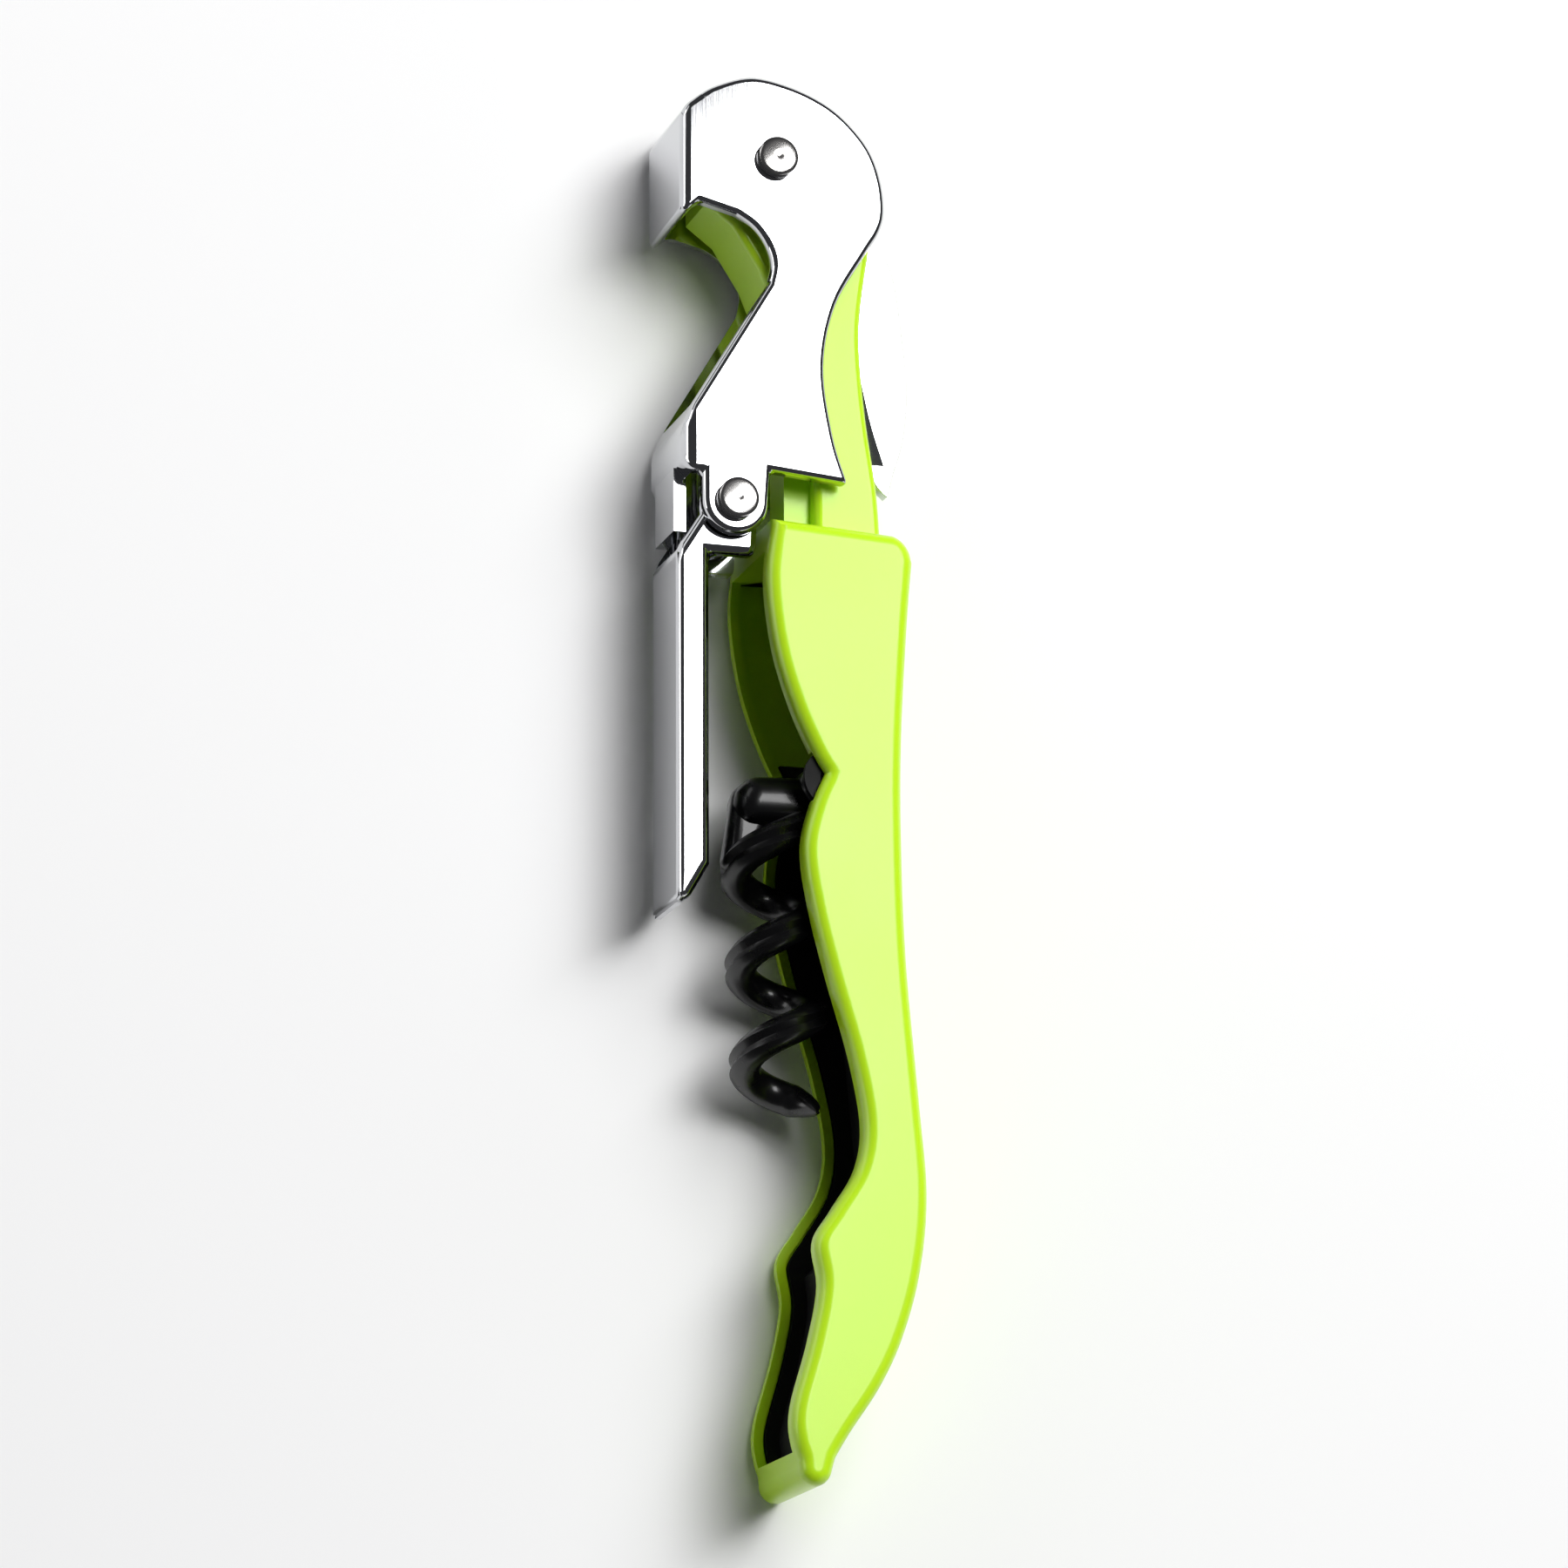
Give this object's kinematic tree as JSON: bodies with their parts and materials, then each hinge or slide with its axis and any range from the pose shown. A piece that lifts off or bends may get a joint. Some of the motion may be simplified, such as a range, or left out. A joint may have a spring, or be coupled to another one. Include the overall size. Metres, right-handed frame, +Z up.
{
  "type": "lever corkscrew",
  "caption": "Double-hinged waiter's corkscrew, folded: moulded curved grip with a black liner, chromed two-stage lever with cap-lifter head, black worm and a short foil knife.",
  "frame": {"origin": "centre of the bounding box, at the surface the folded corkscrew lies on", "axes": "+Y along the length towards the riveted head, +X towards the spine of the grip, away from the lever, +Z up through the thickness, along every hinge"},
  "size_m": [0.0218, 0.1226, 0.013],
  "materials": {
    "grip_lime": "satin lime green moulding with a fine skin and a rolled, deeper coloured rim",
    "liner_black": "black coated steel",
    "lever_chrome": "bright chrome plate",
    "rivet_steel": "polished nickel-plated steel",
    "blade_steel": "bright ground stainless steel",
    "worm_black": "glossy black non-stick coating",
    "spring_steel": "plain spring steel",
    "spacer_brass": "plain turned brass",
    "spacer_nylon": "black nylon"
  },
  "bodies": {
    "handle": {"handle_shell": "grip_lime", "core_channel": "liner_black", "leaf_spring": "spring_steel", "leaf_spring_rivet_1": "spring_steel", "leaf_spring_rivet_2": "spring_steel", "head_rivet": "rivet_steel", "head_washer_near": "spring_steel", "head_washer_far": "spring_steel", "knife_spacer_near": "spacer_brass", "knife_spacer_far": "spacer_brass", "worm_pin": "rivet_steel", "worm_spacer_near": "spacer_nylon", "worm_spacer_far": "spacer_nylon"},
    "first_stage": {"lever_first_stage": "lever_chrome", "knee_rivet": "rivet_steel", "knee_sleeve": "rivet_steel", "knee_spring": "spring_steel"},
    "second_stage": {"lever_second_stage": "lever_chrome"},
    "worm": {"worm": "worm_black"},
    "knife": {"knife_blade": "blade_steel"}
  },
  "joints": [
    {"name": "lever_open", "type": "hinge", "parent": "handle", "child": "first_stage", "pos_m": [-0.0024, 0.0538, 0.0065], "axis": [0, 0, -1], "range_deg": [0, 165]},
    {"name": "second_stage_fold", "type": "hinge", "parent": "first_stage", "child": "second_stage", "pos_m": [-0.0061, 0.0226, 0.0065], "axis": [0, 0, -1], "range_deg": [0, 60]},
    {"name": "worm_swing", "type": "hinge", "parent": "handle", "child": "worm", "pos_m": [0.0025, -0.0012, 0.0065], "axis": [0, 0, -1], "range_deg": [0, 90]},
    {"name": "knife_open", "type": "hinge", "parent": "handle", "child": "knife", "pos_m": [-0.0024, 0.0538, 0.0065], "axis": [0, 0, 1], "range_deg": [0, 174]}
  ],
  "couplings": [
    {"joint": "worm_swing", "follows": "lever_open", "ratio": 0.54}
  ]
}
